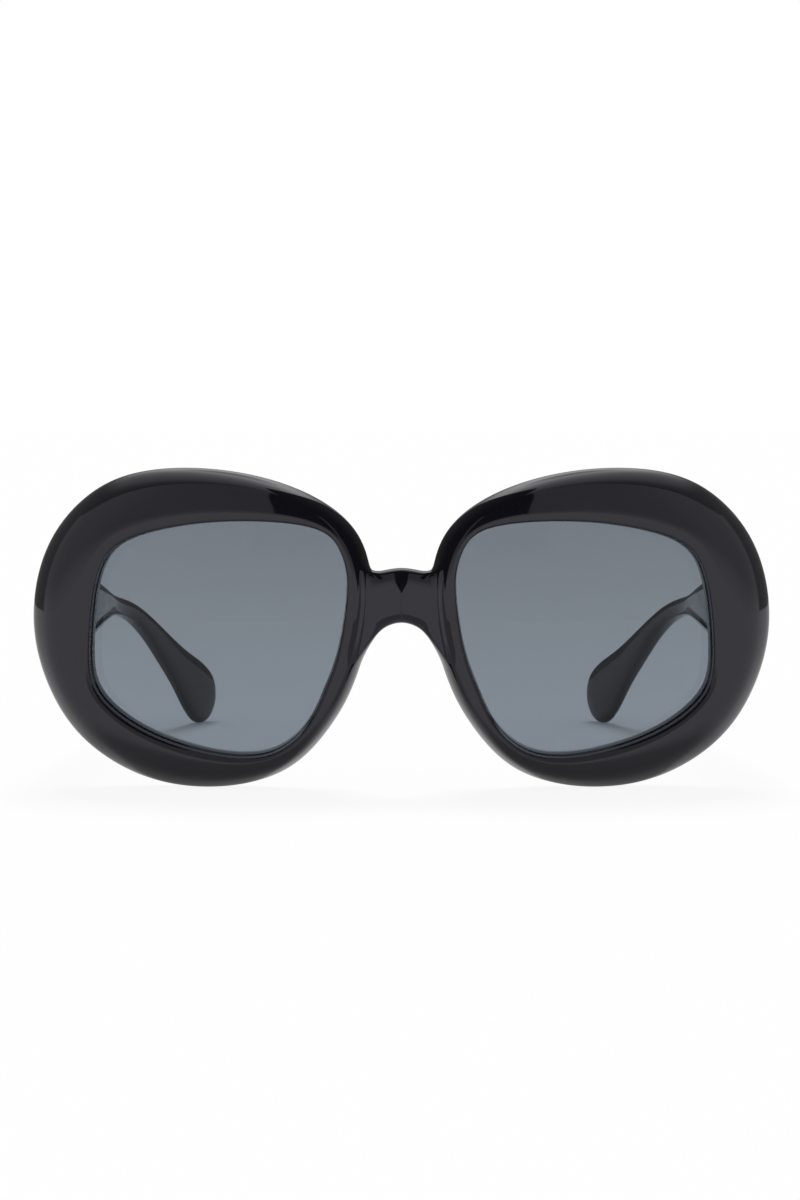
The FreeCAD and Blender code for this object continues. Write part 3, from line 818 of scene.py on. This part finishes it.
def onlyReflected(thing):
    thing.visible_camera = False
    thing.visible_diffuse = False
    thing.visible_transmission = False
    thing.visible_shadow = False


def glowMaterial(name):
    material, tree, shader = newMaterial(name)
    glow = addNode(tree, "ShaderNodeEmission")
    tree.nodes.remove(shader)
    tree.links.new(glow.outputs["Emission"], tree.nodes["Material Output"].inputs["Surface"])
    return material, tree, glow


def rangeNode(tree, value, low, high):
    node = addNode(tree, "ShaderNodeMapRange", interpolation_type="SMOOTHSTEP")
    setInputs(node, **{"From Min": low, "From Max": high})
    tree.links.new(value, node.inputs["Value"])
    return node.outputs["Result"]


def makeTent():
    # soft walls round the part: grey in front, a lit roof behind, dark at the back corners
    bpy.ops.object.select_all(action="DESELECT")
    bpy.ops.mesh.primitive_uv_sphere_add(segments=tent["segments"], ring_count=tent["rings"],
                                         radius=tent["radius"], location=tent["middle"])
    walls = bpy.context.active_object
    walls.name = "tent"
    material, tree, glow = glowMaterial("tentCloth")
    coords = addNode(tree, "ShaderNodeTexCoord")
    way = addNode(tree, "ShaderNodeVectorMath", operation="NORMALIZE")
    tree.links.new(coords.outputs["Object"], way.inputs[0])
    split = addNode(tree, "ShaderNodeSeparateXYZ")
    tree.links.new(way.outputs["Vector"], split.inputs["Vector"])
    across = sumNode(tree, "ABSOLUTE", split.outputs["X"], None)
    back, up = split.outputs["Y"], split.outputs["Z"]
    edge = sumNode(tree, "MULTIPLY_ADD", across, tent["roofAcross"], up)
    edge = sumNode(tree, "MULTIPLY_ADD", back, tent["roofBack"], edge)
    roof = rangeNode(tree, edge, *tent["roofEdge"])
    behind = rangeNode(tree, back, *tent["backEdge"])
    inside = sumNode(tree, "MAXIMUM", roof, behind)
    toLamp = addNode(tree, "ShaderNodeVectorMath", operation="DOT_PRODUCT")
    toLamp.inputs[1].default_value = tent["lampWay"]
    tree.links.new(way.outputs["Vector"], toLamp.inputs[0])
    lit = addNode(tree, "ShaderNodeMapRange")
    setInputs(lit, **{"From Min": tent["lampStart"]})
    tree.links.new(toLamp.outputs["Value"], lit.inputs["Value"])
    level = addNode(tree, "ShaderNodeValToRGB")
    ramp = level.color_ramp
    for place, value in tent["lampLevels"]:
        stop = ramp.elements.new(place)
        stop.color = (value, value, value, 1)
    ramp.elements.remove(ramp.elements[0])
    ramp.elements.remove(ramp.elements[-1])
    tree.links.new(lit.outputs["Result"], level.inputs["Fac"])
    high = sumNode(tree, "MULTIPLY_ADD", across, tent["lampAcross"], up)
    high = rangeNode(tree, high, *tent["lampEdge"])
    lamp = sumNode(tree, "SUBTRACT", level.outputs["Color"], tent["corner"])
    rear = sumNode(tree, "MULTIPLY_ADD", lamp, high, tent["corner"])
    low = rangeNode(tree, up, *tent["skirtEdge"])
    sideways = rangeNode(tree, across, *tent["frontEdge"])
    front = sumNode(tree, "MULTIPLY_ADD", sideways, tent["frontSide"] - tent["front"], tent["front"])
    paler = sumNode(tree, "SUBTRACT", tent["skirt"], front)
    front = sumNode(tree, "MULTIPLY_ADD", paler, low, front)
    change = sumNode(tree, "SUBTRACT", rear, front)
    light = sumNode(tree, "MULTIPLY_ADD", change, inside, front)
    tree.links.new(light, glow.inputs["Strength"])
    dress(walls, material)
    onlyReflected(walls)


def makeCards():
    # flags that darken what the middle of the front reflects
    for name, (level, lower, upper) in cards.items():
        material, tree, glow = glowMaterial(name)
        setInputs(glow, Strength=level)
        card = wrapSheet(name, [lower, upper])
        dress(card, material)
        onlyReflected(card)


def makeSun():
    sun = bpy.data.objects.new("sun", bpy.data.lights.new("sun", "SUN"))
    bpy.context.scene.collection.objects.link(sun)
    sun.data.energy = studio["sunStrength"]
    sun.data.angle = math.radians(studio["sunSoftness"])
    sun.rotation_euler = (math.radians(-studio["sunLean"]), 0, 0)
    # it lights the part, and its disc shows in no reflection and through no lens
    sun.visible_glossy = False
    sun.visible_transmission = False


def makeWorld():
    world = bpy.data.worlds.new("studio")
    bpy.context.scene.world = world
    world.use_nodes = True
    tree = world.node_tree
    share = whiteShare(tree, 1, 1, 1)
    level = sumNode(tree, "MULTIPLY_ADD", share, 1 - studio["skyLevel"], studio["skyLevel"])
    tree.nodes["Background"].inputs["Color"].default_value = (1, 1, 1, 1)
    tree.links.new(level, tree.nodes["Background"].inputs["Strength"])


makeFloor()
makeTent()
makeCards()
makeSun()
makeWorld()

camera = bpy.data.objects.new("camera", bpy.data.cameras.new("camera"))
bpy.context.scene.collection.objects.link(camera)
camera.data.lens = studio["lens"]
camera.data.sensor_width = studio["sensor"]
cameraY = rim["frontFace"] * metres - studio["cameraBack"]
camera.location = (studio["cameraAcross"], cameraY, studio["cameraHeight"])
camera.rotation_euler = (math.radians(90 - studio["pitch"]), 0, 0)
bpy.context.scene.camera = camera
bpy.context.scene.view_settings.view_transform = "Standard"
print("stage set")
